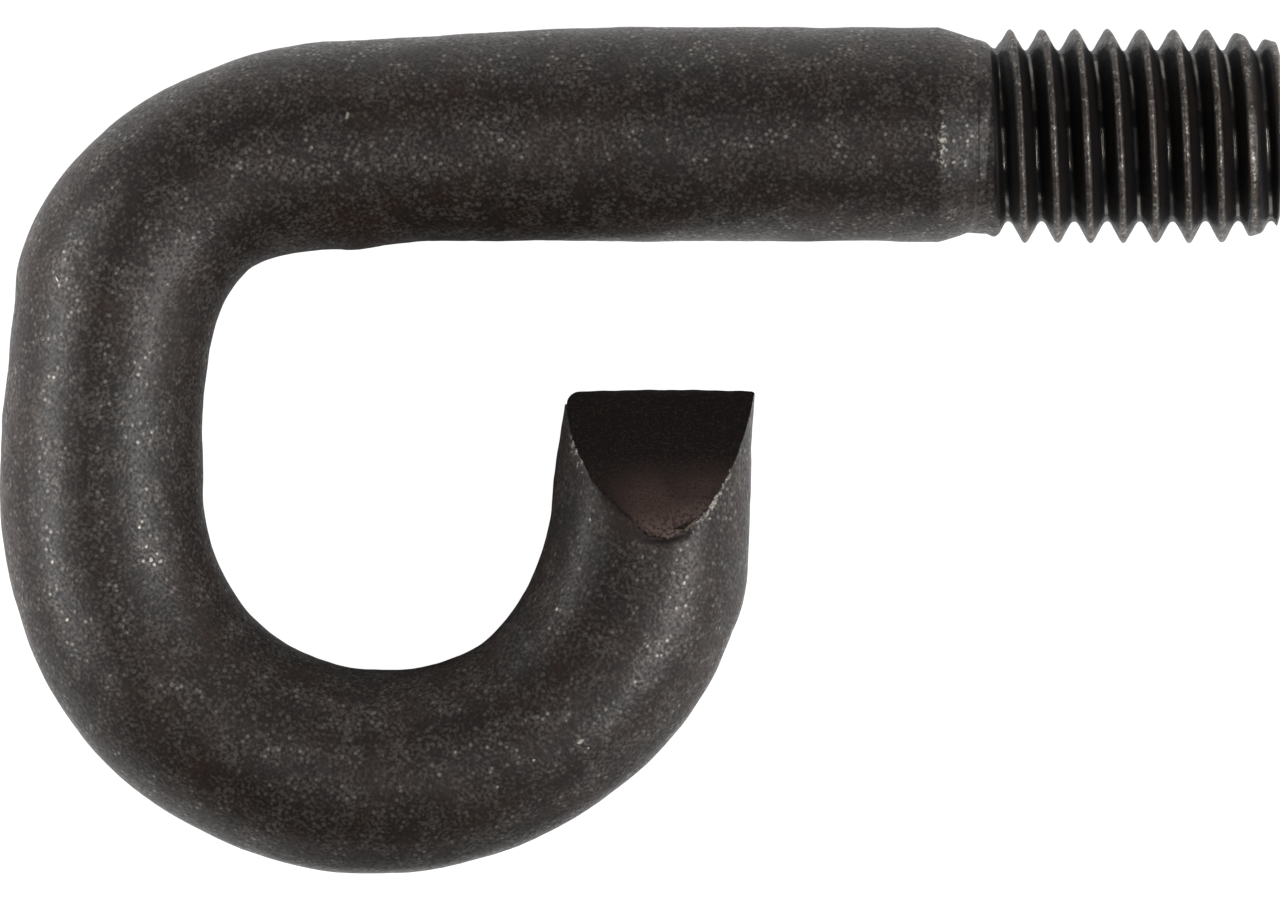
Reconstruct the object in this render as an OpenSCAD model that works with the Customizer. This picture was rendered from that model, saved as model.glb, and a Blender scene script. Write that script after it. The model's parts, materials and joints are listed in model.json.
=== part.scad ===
// Hook bolt: a threaded rod bent to a P-shaped hook, in one piece.
// The shank lies along X with its thread toward +X, and the hook hangs toward -Y.
// The origin is on the shank axis at the shoulder, and Z is up with the bolt lying flat.
// All sizes are in millimetres and all turns are in degrees.

/* [Rod] */
// Diameter of the straight shank.
rod_d = 10; // [9.8:0.1:12]
// Length of the straight shank, from the shoulder to where the rod starts to thin.
shank_len = 12.8; // [6:0.1:40]
// Length over which the rod thins toward the bend.
thinning_len = 2.8; // [1:0.1:8]
// Diameter of the rod through the bend and round the hook.
hook_rod_d = 9.5; // [8.5:0.1:9.7]

/* [Bend] */
// Length of the slight curve that leads into the bend.
lead_len = 14; // [8:0.1:24]
// Turn of the slight curve.
lead_turn = 5; // [2:0.5:8]
// Inside radius of the bend.
bend_inner_r = 5.05; // [3:0.05:8]
// Turn of the bend.
bend_turn = 82; // [76:0.5:88]
// Length of the straight limb between the bend and the hook.
limb_len = 6.4; // [3:0.1:16]

/* [Hook] */
// Inside diameter of the eye.
eye_d = 16.1; // [12:0.1:24]
// Turn of the hook round the eye.
hook_turn = 180; // [170:0.5:190]
// Length from the end of the hook to the ridge of the tip.
tip_len = 5.7; // [3:0.1:10]
// Diameter of the rod at the tip, before the pinch cut.
tip_d = 8.6; // [7:0.1:9.4]
// Angle between the rod axis and each pinched face, at the ridge.
pinch_angle = 44; // [40:1:50]
// Radius to which each pinched face swells.
pinch_r = 25; // [24:0.5:60]
// Width of the blunt ridge between the two pinched faces.
ridge_w = 0.4; // [0.2:0.1:1.5]
// Turn of the ridge away from square to the rod.
ridge_turn = 3; // [-6:0.5:6]

/* [Thread] */
// Length of the cone between the shank and the thread.
neck_len = 1.2; // [0.8:0.1:4]
// Diameter of the neck where the thread starts.
neck_d = 9.2; // [8.6:0.1:9.6]
// Diameter over the thread crests.
thread_d = 10; // [9.4:0.1:12]
// Distance from one crest to the next.
pitch = 1.5; // [1:0.05:2]
// Depth of the thread as a share of its pitch.
depth_share = 0.65; // [0.5:0.01:0.7]
// Length from the neck to the end of the bolt.
thread_len = 14.75; // [8:0.25:60]
// Plain length past the neck before the thread shows.
run_in_start = 0.5; // [0:0.1:2]
// Length over which the thread grows to its full depth.
run_in_len = 1.7; // [0.8:0.1:4]
// Length over which the crests fall toward the end.
run_out_len = 3; // [1:0.1:6]
// Diameter over the crests at the end.
end_crest_d = 8.8; // [8.4:0.1:9.8]
// Diameter of the flat end.
end_face_d = 6.4; // [4:0.1:7.6]
// Angle of the bevel round the flat end.
end_bevel = 21; // [12:1:45]

/* [Hidden] */
$fn = 96;
// How far each cutting form runs past what it cuts.
overrun = 1;
// Step by which the thread starts inside the edge of the neck.
seat_step = 0.03;
// How far the pinch cut reaches to each side of the rod axis.
cut_reach = hook_rod_d;
// Centre-line radii of the three curves.
lead_r = lead_len * 180 / PI / lead_turn;
bend_r = bend_inner_r + hook_rod_d / 2;
hook_r = (eye_d + hook_rod_d) / 2;
// Radii of the thread.
crest_r = thread_d / 2;
root_r = crest_r - depth_share * pitch;
seat_r = neck_d / 2 - seat_step;
// One pitch of the thread form, as shares of the pitch and of the depth.
form_shares = [[0, 0], [0.354, 1], [0.479, 1], [0.833, 0]];
form_points = len(form_shares);
// Sides of one turn, and sides from inside the shank to past the end of the bolt.
turn_sides = 36;
all_sides = ceil(((thread_len + overrun) / pitch + 1) * turn_sides);
// Radius of the two hidden ends of the thread form.
core_r = min(root_r, seat_r) - overrun;
// Length of the bevel, measured from the end out past the crests.
bevel_len = (crest_r + overrun - end_face_d / 2) * tan(end_bevel);

// A straight round stretch along +X. What follows starts at its far end.
module straight(len, d_start, d_end) {
    rotate([0, 90, 0])
        cylinder(h = len, d1 = d_start, d2 = d_end);
    translate([len, 0, 0])
        children();
}

// Moves to the far end of a left turn.
module turned(radius, turn) {
    translate([0, radius, 0])
        rotate([0, 0, turn])
            translate([0, -radius, 0])
                children();
}

// A round stretch that turns left. It is swept a little too far and trimmed square,
// so that what follows meets it face to face.
module bend(radius, turn, d) {
    over_turn = overrun / radius * 180 / PI;
    difference() {
        translate([0, radius, 0])
            rotate([0, 0, -90])
                rotate_extrude(angle = turn + over_turn)
                    translate([radius, 0])
                        circle(d = d);
        turned(radius, turn)
            translate([0, -d, -d])
                cube([2 * overrun, 2 * d, 2 * d]);
    }
    turned(radius, turn)
        children();
}

// What one jaw takes off above the ridge: all that stands over a face that swells a little.
// The ridge lies along Y at the origin.
module jaw_cut() {
    face_run = pinch_r * sin(pinch_angle);
    translate([0, 0, ridge_w / 2])
        difference() {
            translate([-face_run, -cut_reach, 0])
                cube([face_run, 2 * cut_reach, 2 * cut_reach]);
            translate([-face_run, 0, -pinch_r * cos(pinch_angle)])
                rotate([90, 0, 0])
                    cylinder(h = 2 * (cut_reach + overrun), r = pinch_r, center = true);
        }
}

// The whole pinch cut: a jaw above, a jaw below, and the rod trimmed to length at the ridge.
module pinch_cut() {
    jaw_cut();
    mirror([0, 0, 1])
        jaw_cut();
    translate([0, -cut_reach, -cut_reach])
        cube([2 * overrun, 2 * cut_reach, 2 * cut_reach]);
}

// The hook round the eye, with its tip pinched off from both sides.
module hook() {
    taper = (hook_rod_d - tip_d) / tip_len;
    difference() {
        bend(hook_r, hook_turn, hook_rod_d)
            straight(tip_len + overrun, hook_rod_d, tip_d - taper * overrun);
        turned(hook_r, hook_turn)
            translate([tip_len, 0, 0])
                rotate([0, 0, ridge_turn])
                    pinch_cut();
    }
}

// Share of the full thread form at a place along the thread.
function grown(x) = max(0, min(1, (x - run_in_start) / run_in_len));

// Radius of the crests at a place along the thread.
function crest_at(x) =
    let (past = max(0, x - thread_len + run_out_len) / run_out_len)
    max(root_r, crest_r - (crest_r - end_crest_d / 2) * past);

// One corner of the thread form, on side k of the helix and point m of the form.
function thread_point(k, m) =
    let (
        x = pitch * (k / turn_sides - 1 + form_shares[m][0]),
        full_r = root_r + (crest_at(x) - root_r) * form_shares[m][1],
        r = seat_r + (full_r - seat_r) * grown(x),
        a = 360 * k / turn_sides
    )
    [x, r * cos(a), r * sin(a)];

// A corner of the ring that closes the thread form at one end.
function ring_point(k, x) =
    let (a = 360 * k / turn_sides)
    [x, core_r * cos(a), core_r * sin(a)];

// Place of a corner in the list of points. The last point of the form is the first one
// of the next turn, and the helix runs one turn further along its first point.
function at(k, m) =
    m == form_points ? at(k + turn_sides, 0)
    : k <= all_sides ? k * form_points + m
    : (all_sides + 1) * form_points + k - all_sides - 1;
first_ring = (all_sides + 1) * form_points + turn_sides;
function ring_at(ring, k) = first_ring + ring * turn_sides + k % turn_sides;

// The thread as a closed right-hand helix, from inside the shank to past the end.
module thread_form() {
    points = concat(
        [for (k = [0:all_sides], m = [0:form_points - 1]) thread_point(k, m)],
        [for (k = [all_sides + 1:all_sides + turn_sides]) thread_point(k, 0)],
        [for (k = [0:turn_sides - 1]) ring_point(k, -pitch - overrun)],
        [for (k = [0:turn_sides - 1])
            ring_point(k, pitch * (all_sides / turn_sides + 1) + overrun)]
    );
    sides = [for (k = [0:all_sides - 1], m = [0:form_points - 1], half = [0, 1])
        half == 0
        ? [at(k, m), at(k + 1, m + 1), at(k + 1, m)]
        : [at(k, m), at(k, m + 1), at(k + 1, m + 1)]];
    start = [for (k = [0:turn_sides - 1], half = [0, 1])
        half == 0
        ? [ring_at(0, k), at(k, 0), at(k + 1, 0)]
        : [ring_at(0, k), at(k + 1, 0), ring_at(0, k + 1)]];
    start_step = [for (m = [0:form_points - 1])
        [ring_at(0, 0), at(0, m + 1), at(0, m)]];
    end = [for (k = [all_sides:all_sides + turn_sides - 1], half = [0, 1])
        half == 0
        ? [at(k, 0), ring_at(1, k), ring_at(1, k + 1)]
        : [at(k, 0), ring_at(1, k + 1), at(k + 1, 0)]];
    end_step = [for (m = [0:form_points - 1])
        [ring_at(1, all_sides), at(all_sides, m), at(all_sides, m + 1)]];
    caps = [
        [for (k = [0:turn_sides - 1]) ring_at(0, k)],
        [for (k = [0:turn_sides - 1]) ring_at(1, turn_sides - 1 - k)]
    ];
    polyhedron(points, concat(sides, start, start_step, end, end_step, caps), convexity = 10);
}

// The threaded end, cut to length with a bevelled flat face.
module thread() {
    reach = 2 * (crest_r + overrun);
    body_len = thread_len - bevel_len;
    intersection() {
        thread_form();
        translate([-pitch - 2 * overrun, 0, 0])
            straight(body_len + pitch + 2 * overrun, reach, reach)
                straight(bevel_len, reach, end_face_d);
    }
}

// The whole bolt: neck and thread one way, bends and hook the other way.
module hook_bolt() {
    color("#34312f") {
        straight(neck_len, rod_d, neck_d)
            thread();
        rotate([0, 0, 180])
            straight(shank_len, rod_d, rod_d)
                straight(thinning_len, rod_d, hook_rod_d)
                    bend(lead_r, lead_turn, hook_rod_d)
                        bend(bend_r, bend_turn, hook_rod_d)
                            straight(limb_len, hook_rod_d, hook_rod_d)
                                hook();
    }
}

hook_bolt();
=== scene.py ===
# %% [markdown]
# # A black hook bolt, made from one steel rod
#
# The real bolt is a round rod with a thread rolled on one end. The other end was bent hot into a
# hook and nipped off between two jaws. Forging left a black, grainy scale all over it, and handling
# wore that scale pale on the thread crests, the shoulder and the nipped edge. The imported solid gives
# the size and the place of everything. This script lays a finer skin over the same centre line,
# because the solid has no unevenness, no burr and no scale.

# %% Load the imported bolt
import json
import math

import bmesh
import bpy
import numpy as np
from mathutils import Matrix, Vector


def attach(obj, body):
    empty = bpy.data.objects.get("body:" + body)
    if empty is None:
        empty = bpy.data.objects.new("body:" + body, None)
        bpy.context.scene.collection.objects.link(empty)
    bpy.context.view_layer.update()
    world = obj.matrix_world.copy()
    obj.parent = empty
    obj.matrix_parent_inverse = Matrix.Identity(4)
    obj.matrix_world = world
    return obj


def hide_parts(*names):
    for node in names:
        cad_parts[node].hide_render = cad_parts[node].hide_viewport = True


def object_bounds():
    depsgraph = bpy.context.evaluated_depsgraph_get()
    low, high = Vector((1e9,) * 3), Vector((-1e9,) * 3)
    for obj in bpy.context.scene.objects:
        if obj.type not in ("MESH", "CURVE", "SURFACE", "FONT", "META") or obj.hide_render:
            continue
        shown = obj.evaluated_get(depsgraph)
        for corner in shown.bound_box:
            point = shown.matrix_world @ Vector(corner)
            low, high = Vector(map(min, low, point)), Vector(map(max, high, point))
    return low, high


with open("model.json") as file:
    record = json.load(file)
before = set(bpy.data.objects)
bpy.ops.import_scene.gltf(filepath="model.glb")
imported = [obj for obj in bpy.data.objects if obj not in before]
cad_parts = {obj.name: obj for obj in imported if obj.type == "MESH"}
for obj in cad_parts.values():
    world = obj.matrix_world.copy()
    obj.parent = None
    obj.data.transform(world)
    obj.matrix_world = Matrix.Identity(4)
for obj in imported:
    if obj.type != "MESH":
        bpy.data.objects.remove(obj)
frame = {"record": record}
cad_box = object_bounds()
MM = 0.001
mounts = {mount["name"]: mount for mount in frame["record"]["mounts"]}
cad_low = np.array(cad_box[0]) / MM
cad_high = np.array(cad_box[1]) / MM
print("the packed bolt is", np.round(cad_high - cad_low, 2), "mm over all")

# %% [markdown]
# ## The centre line
#
# A bent rod is easiest to describe the way it was bent: so far straight on, then so far round. Each
# leg is a length and a turn, both measured along the middle of the rod from the shoulder where the
# thread starts. A curve object with a bevel could sweep a round section along it, but then every
# ring would be alike, so the rings are worked out here and each can have its own thickness.

# %% Bends of the rod
SHANK_LEN = mounts["shank"]["dims"]["length_mm"]
ROD_R = mounts["shank"]["dims"]["r_mm"]
HOOK_ROD_R = mounts["eye"]["dims"]["length_mm"] / 2
EYE_R = mounts["eye"]["dims"]["r_mm"]
THINNING_LEN = 2.8
LEAD_LEN = 14.0
LEAD_TURN = 5.0
BEND_R = 9.8
BEND_TURN = 82.0
LIMB_LEN = 6.4
HOOK_R = EYE_R + HOOK_ROD_R
HOOK_TURN = 180.0
TIP_LEN = 5.7
LEGS = [
    (SHANK_LEN + THINNING_LEN, 0.0),
    (LEAD_LEN, LEAD_TURN),
    (BEND_R * math.radians(BEND_TURN), BEND_TURN),
    (LIMB_LEN, 0.0),
    (HOOK_R * math.radians(HOOK_TURN), HOOK_TURN),
    (TIP_LEN, 0.0),
]
ROD_LEN = sum(length for length, turn in LEGS)


def leg_reach(run, rate, heading):
    """How far a leg gets in X and in Y over a run, and how far it turns."""
    if rate == 0.0:
        return run * math.cos(heading), run * math.sin(heading), 0.0 * run
    angle = heading + rate * run
    in_x = (np.sin(angle) - math.sin(heading)) / rate
    in_y = (math.cos(heading) - np.cos(angle)) / rate
    return in_x, in_y, rate * run


def centre_line(along):
    """Place in X and Y and heading of the rod's middle, at distances along from the shoulder."""
    along = np.asarray(along, float)
    x, y = np.zeros_like(along), np.zeros_like(along)
    heading = np.full_like(along, math.pi)
    leg_start, leg_x, leg_y, leg_heading = 0.0, 0.0, 0.0, math.pi
    for number, (length, turn) in enumerate(LEGS):
        rate = math.radians(turn) / length
        first, last = number == 0, number == len(LEGS) - 1
        inside = (along >= leg_start) | first
        inside &= (along < leg_start + length) | last
        in_x, in_y, swing = leg_reach(along[inside] - leg_start, rate, leg_heading)
        x[inside], y[inside], heading[inside] = leg_x + in_x, leg_y + in_y, leg_heading + swing
        in_x, in_y, swing = leg_reach(length, rate, leg_heading)
        leg_x, leg_y, leg_heading = leg_x + in_x, leg_y + in_y, leg_heading + swing
        leg_start += length
    return x, y, heading


tip_x, tip_y = (float(part[0]) for part in centre_line([ROD_LEN])[:2])
print(f"the rod is {ROD_LEN:.1f} mm from shoulder to tip, and the tip is at {tip_x:.2f}, {tip_y:.2f} mm")

# %% [markdown]
# ## How thick the rod is
#
# Nothing hot-bent by hand stays evenly round. The rod thins slowly after the shank, the bend
# stretched its outer side, and the hammer left a flat here and a swelling there. A noise would make
# it uneven in the wrong places, so the outer and the inner edge are given where they change,
# as distances from the centre line, and run smoothly from one place to the next.

# %% Edges of the rod
EDGES = [
    # along, outer edge, inner edge
    (0.0, 4.95, 5.03),
    (9.0, 4.99, 5.03),
    (14.0, 5.00, 5.03),
    (17.0, 4.95, 5.00),
    (20.0, 4.82, 4.95),
    (24.0, 4.76, 4.84),
    (26.0, 4.78, 4.87),
    (27.6, 4.80, 5.04),
    (28.6, 4.83, 4.91),
    (30.5, 4.66, 4.90),
    (32.5, 4.53, 4.79),
    (35.0, 4.63, 4.63),
    (38.0, 4.85, 4.73),
    (40.5, 4.93, 4.79),
    (41.5, 4.86, 4.79),
    (42.5, 4.56, 4.77),
    (45.5, 4.66, 4.56),
    (47.2, 4.80, 4.58),
    (50.0, 4.75, 4.75),
    (53.0, 4.65, 4.85),
    (60.0, 4.86, 4.86),
    (65.0, 4.70, 4.88),
    (71.0, 4.73, 4.83),
    (75.0, 4.68, 4.66),
    (79.0, 4.77, 4.46),
    (83.0, 4.93, 4.66),
    (87.6, 4.96, 4.74),
    (89.2, 4.66, 4.70),
    (92.0, 4.56, 4.62),
    (95.9, 4.52, 4.22),
]
EDGE_SOFTNESS = 0.45
TIP_HALF_HEIGHT = 4.45
softening = np.linspace(-EDGE_SOFTNESS, EDGE_SOFTNESS, 7)


def edge(along, side):
    """Distance of one edge from the centre line. Side 1 is the outer one and side 2 the inner one."""
    places = [row[0] for row in EDGES]
    distances = [row[side] for row in EDGES]
    return sum(np.interp(along + shift, places, distances) for shift in softening) / len(softening)


def height(along):
    """Half the rod's height off the floor, where the bending dies didn't reach it."""
    thin = np.interp(along, [SHANK_LEN, SHANK_LEN + LEAD_LEN], [ROD_R, HOOK_ROD_R])
    tip = np.interp(along, [ROD_LEN - TIP_LEN, ROD_LEN], [0.0, HOOK_ROD_R - TIP_HALF_HEIGHT])
    return thin - tip


widths = [outer + inner for place, outer, inner in EDGES]
print(f"the rod is between {min(widths):.2f} and {max(widths):.2f} mm wide")

# %% [markdown]
# ## The rolled thread
#
# A rolled thread is a helix: going once round moves every crest on by one pitch. A screw modifier
# would turn a profile into one, but it can't fade in at the neck or fall away at the end. Instead
# the radius of each point is read from where it sits between two crests, and the rollers' rounded
# crests come from averaging that profile over a short stretch. The neck reaches further along on the
# outer side, and a fine tool line runs round it on top.

# %% Radius along the neck and the thread
NECK_LEN = 1.2
NECK_R = 4.55
NECK_SKEW = 0.25
NECK_REACH = 1.1
NECK_HOLLOW = 1.15
PITCH = 1.525
ROOT_R = 3.99
THREAD_END = cad_high[0]
THREAD_LEN = THREAD_END - NECK_LEN
CREST_PHASE = 0.4165
FLANK_SHARE = 0.375
ROLLED_SHARE = 0.06
RUN_IN_START = 1.0
RUN_IN_LEN = 1.2
RUN_IN_DELAY = 0.4
FIRST_CUT_LEN = 0.6
RUN_OUT_LEN = 3.0
END_CREST_R = 4.3
CREST_ROUND = 0.06
END_ROUND = 0.04
END_FACE_R = 3.7
END_BEVEL = 17.0
THREAD_SAG = 0.06
TOOL_LINE_AT = 1.75
TOOL_LINE_HALF = 0.07
TOOL_LINE_DEPTH = 0.035
THREAD_SHIFT = -0.03


def bell(value, middle, half, power=2):
    """1 at the middle, falling smoothly to nearly 0 at twice the half width."""
    return np.exp(-(((value - middle) / half) ** power))


def crest_share(x, angle):
    """1 on a crest and 0 in a root, with both rounded a little by the rollers."""
    turns = (x - NECK_LEN - THREAD_SHIFT) / PITCH - angle / (2 * math.pi) - CREST_PHASE
    share = 0.0
    offsets = np.linspace(-ROLLED_SHARE, ROLLED_SHARE, 5)
    for offset in offsets:
        place = turns + offset
        away = np.abs(place - np.round(place))
        share = share + np.clip((CREST_PHASE - away) / FLANK_SHARE, 0.0, 1.0)
    return share / len(offsets)


def crests_grown(x, angle):
    """0 on the neck and 1 where the crests have their full height. They rise later on top."""
    start = NECK_LEN + RUN_IN_START + RUN_IN_DELAY * np.abs(np.sin(angle))
    return np.clip((x - start) / RUN_IN_LEN, 0.0, 1.0)


def grooves_cut(x):
    """0 on the neck and 1 where the grooves have their full depth."""
    return np.clip((x - NECK_LEN - RUN_IN_START) / FIRST_CUT_LEN, 0.0, 1.0)


def threaded_radius(x, angle):
    """Radius of the neck and the thread at x past the shoulder."""
    past = np.clip((x - THREAD_END + RUN_OUT_LEN) / RUN_OUT_LEN, 0.0, 1.0)
    crest_r = ROD_R - (ROD_R - END_CREST_R) * past
    full = ROOT_R + (ROD_R - ROOT_R) * crest_share(x, angle)
    full = -np.log(np.exp(-full / CREST_ROUND) + np.exp(-crest_r / CREST_ROUND)) * CREST_ROUND
    full = full + CREST_ROUND * math.log(2) * np.clip((full - ROOT_R) / (crest_r - ROOT_R), 0.0, 1.0)
    outer_share = (0.5 + 0.5 * np.cos(angle)) ** 0.25
    neck_share = np.clip(x / (NECK_LEN * (1 + NECK_REACH * outer_share)), 0.0, 1.0)
    neck = ROD_R + (NECK_R - NECK_SKEW * outer_share - ROD_R) * neck_share**NECK_HOLLOW
    line_share = np.clip(2 * np.sin(angle), 0.0, 1.0) * bell(x, TOOL_LINE_AT, TOOL_LINE_HALF)
    neck = neck - TOOL_LINE_DEPTH * line_share
    thread = neck + (full - neck) * np.where(full > neck, crests_grown(x, angle), grooves_cut(x))
    bevel = END_FACE_R + (THREAD_END - x) / math.tan(math.radians(END_BEVEL))
    return thread - END_ROUND * np.log1p(np.exp((thread - bevel) / END_ROUND))


print(f"{THREAD_LEN / PITCH:.1f} turns of thread over {THREAD_LEN:.2f} mm")

# %% [markdown]
# ## Points on the skin
#
# Any point of the rod is named by how far along it lies and by its angle round the rod: 0 degrees is
# the outer side of the bends, 90 degrees is up. One function turns those two into a place, so the
# rows of the skin and the nipped edge agree. The forged surface also waves by a few hundredths of a
# millimetre, and the rolled thread over shorter stretches. A sum of seeded waves gives both, and it
# only ever cuts into the rod. Along the limb the hammer left a low crown on top, where the rod is
# thinner than the shank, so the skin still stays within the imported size.

# %% Place on the skin
RELIEF = 0.035
RELIEF_LEN = 3.4
RELIEF_FADE = 2.0
LUMPS = 0.006
LUMP_LEN = 0.9
THREAD_LUMPS = 0.03
THREAD_LUMP_LEN = 0.8
CROWN = 0.10
CROWN_HALF = 17.0
CROWN_ALONG = [34.0, 40.0, 56.0, 66.0]


def waves(points, wave_len, seed, count=28):
    """A smooth random field of about unit height, made of plane waves in all directions."""
    draw = np.random.default_rng(seed)
    ways = draw.normal(size=(count, 3))
    ways /= np.linalg.norm(ways, axis=1)[:, None]
    ways *= 2 * math.pi / (wave_len * draw.uniform(0.7, 1.5, size=(count, 1)))
    starts = draw.uniform(0, 2 * math.pi, size=count)
    field = np.zeros(points.shape[:-1])
    for way, start in zip(ways, starts):
        field += np.cos(points @ way + start)
    return field / math.sqrt(count / 2)


def on_skin(along, angle, lift=0.0):
    """Place in millimetres of a point on the rod, moved out by lift."""
    along, angle = np.broadcast_arrays(np.asarray(along, float), np.asarray(angle, float))
    x, y, heading = centre_line(along)
    outer, inner = edge(along, 1), edge(along, 2)
    half, shift, tall = (outer + inner) / 2, (outer - inner) / 2, height(along)
    threaded = along < 0.0
    r = threaded_radius(-along, angle)
    half, tall = np.where(threaded, r, half), np.where(threaded, r, tall)
    sideways = shift + (half + lift) * np.cos(angle)
    up = (tall + lift) * np.sin(angle)
    sag = THREAD_SAG * np.clip(-along / NECK_LEN, 0.0, 1.0)
    return np.stack([x + np.sin(heading) * sideways, y - np.cos(heading) * sideways - sag, up], axis=-1)


def forged(along, angle):
    """The same place with the unevenness of the forged surface."""
    along = np.asarray(along, float)
    smooth = on_skin(along, angle)
    rough = RELIEF * (waves(smooth, RELIEF_LEN, 11) / 2 - 0.8) + LUMPS * waves(smooth, LUMP_LEN, 12)
    rough = np.minimum(rough, 0.0) * np.clip(along / RELIEF_FADE, 0.0, 1.0)
    rolled = THREAD_LUMPS * (waves(smooth, THREAD_LUMP_LEN, 13) / 2 - 0.5)
    rolled = np.minimum(rolled, 0.0) * (along < -NECK_LEN)
    crown = CROWN * bell(np.degrees(angle), 90.0, CROWN_HALF)
    crown = crown * np.interp(along, CROWN_ALONG, [0.0, 1.0, 1.0, 0.0])
    return on_skin(along, angle, rough + rolled + crown)


print("a point on top of the shank:", np.round(forged(5.0, math.pi / 2), 3))

# %% [markdown]
# ## The nipped tip
#
# Two jaws closed on the hot rod and parted it, so the end is a blunt ridge between two faces that
# swell a little, like the end of a chisel. A boolean cut would leave long thin triangles along the
# edge. Here each line of points along the rod simply ends where it meets the jaw's face, found by
# halving, and then carries on over that face to the ridge. The ridge lies level, along X.

# %% Shape of the jaws' cut
JAW_ANGLE = 44.0
JAW_R = 25.0
RIDGE_HALF = 0.2
INNER_CORNER_R = 0.55
OUTER_CORNER_R = 0.16
NICKS = 0.008
RIDGE_BOW = 0.005
RIDGE_BOW_AT = 0.5
FACE_ROLL = 6.0
FACE_ROLL_LEN = 5.0
jaw_run = JAW_R * math.sin(math.radians(JAW_ANGLE))
jaw_drop = JAW_R * math.cos(math.radians(JAW_ANGLE))


def ridge_back(across):
    """How far the ridge stands back from its line: small nicks, a slight bow and two rounded corners."""
    stand = NICKS * (np.sin(2.7 * across) + np.sin(5.9 * across + 1.0))
    stand = stand + RIDGE_BOW * (across - RIDGE_BOW_AT) ** 2
    corners = [(1, OUTER_CORNER_R, edge(ROD_LEN, 1)), (-1, INNER_CORNER_R, edge(ROD_LEN, 2))]
    for side, corner_r, width in corners:
        past = np.clip(side * across - (width - corner_r), 0.0, corner_r)
        stand = stand + corner_r - np.sqrt(corner_r**2 - past**2)
    return stand


def face_height(back, across, above):
    """Height of a nipped face over the middle of the rod, at a distance back from the ridge."""
    swell = np.sqrt(np.maximum(JAW_R**2 - (jaw_run - back) ** 2, 0.0)) - jaw_drop
    roll = across * math.tan(math.radians(FACE_ROLL)) * np.clip(back / FACE_ROLL_LEN, 0.0, 1.0)
    return RIDGE_HALF + swell - np.where(above, roll, 0.0)


def within_cut(points):
    """Whether the jaws left these points standing."""
    back, across, up = tip_y - points[..., 1], points[..., 0] - tip_x, points[..., 2]
    return (np.abs(up) <= face_height(back, across, up > 0)) & (back >= ridge_back(across))


print(f"each jaw's face swells to a radius of {JAW_R} mm and meets the ridge at {JAW_ANGLE} degrees")

# %% Where each line of points meets the cut
ROUND_SIDES = 128
TIP_ZONE = 9.0
TIP_START = ROD_LEN - TIP_ZONE
angles = 2 * math.pi * np.arange(ROUND_SIDES) / ROUND_SIDES
near, far = np.full(ROUND_SIDES, TIP_START), np.full(ROUND_SIDES, ROD_LEN + 1.0)
for halving in range(30):
    middle = (near + far) / 2
    kept = within_cut(forged(middle, angles))
    near, far = np.where(kept, middle, near), np.where(kept, far, middle)
cut_along = near
print(f"the nipped face starts {ROD_LEN - cut_along.min():.2f} mm back from the ridge")

# %% [markdown]
# ## Rows of the skin
#
# The rows lie close on the thread, where the shape turns quickly, and wider apart on the plain rod.
# Toward the tip they slant, so that the last one falls on the nipped edge. The edge itself is drawn
# in a little, as a real edge is, and where the jaws pushed the metal over it stands up as a burr
# with a groove below it.

# %% Sides of the rod
THREAD_ROW = 0.05
PLAIN_ROW = 0.3
SHOULDER_ROOM = 0.4
TIP_ROWS = 40
TIP_CROWDING = 1.7
EDGE_ROUND = 0.07
SOFT_ROUND = 0.30
SOFT_AT = 113.0
SOFT_HALF = 17.0

degrees = np.degrees(angles)
edge_round = EDGE_ROUND + SOFT_ROUND * bell(degrees, SOFT_AT, SOFT_HALF)
thread_rows = np.arange(-THREAD_END, SHOULDER_ROOM, THREAD_ROW)
plain_rows = np.linspace(SHOULDER_ROOM, TIP_START, int((TIP_START - SHOULDER_ROOM) / PLAIN_ROW))
straight_rows = np.concatenate([thread_rows, plain_rows])
tip_shares = 1 - (1 - np.linspace(0, 1, TIP_ROWS + 1)[1:]) ** TIP_CROWDING
tip_rows = TIP_START + tip_shares[:, None] * (cut_along - edge_round - TIP_START)
along = np.concatenate([np.repeat(straight_rows[:, None], ROUND_SIDES, axis=1), tip_rows])
around = np.broadcast_to(angles, along.shape)
sides = forged(along, around)
print(len(along), "rows of", ROUND_SIDES, "points on the sides")

# %% Burr and the groove below it
BURR_FROM = 50.0
BURR_TO = 102.0
BURR_HEIGHT = 0.13
BURR_WIDTH = 0.50
BURR_OVERHANG = 0.42
BURR_GROOVE_GAP = 0.1
BURR_GROOVE_HALF = 0.22
BURR_GROOVE_DEPTH = 0.05

burr_middle = math.radians((BURR_FROM + BURR_TO) / 2)
burr_half = math.radians((BURR_TO - BURR_FROM) / 2)
burr_share = np.clip(1.1 * np.cos(np.clip((angles - burr_middle) / burr_half, -1, 1) * math.pi / 2), 0, 1)
burr_share = burr_share * (0.9 + 0.1 * np.sin(angles * 33.0))
to_edge = cut_along - along
below_burr = bell(to_edge, BURR_OVERHANG + BURR_GROOVE_GAP, BURR_GROOVE_HALF)
sides[..., 2] -= BURR_GROOVE_DEPTH * below_burr * burr_share
print(np.count_nonzero(burr_share > 0.05), "of the", ROUND_SIDES, "lines end in the burr")

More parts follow.
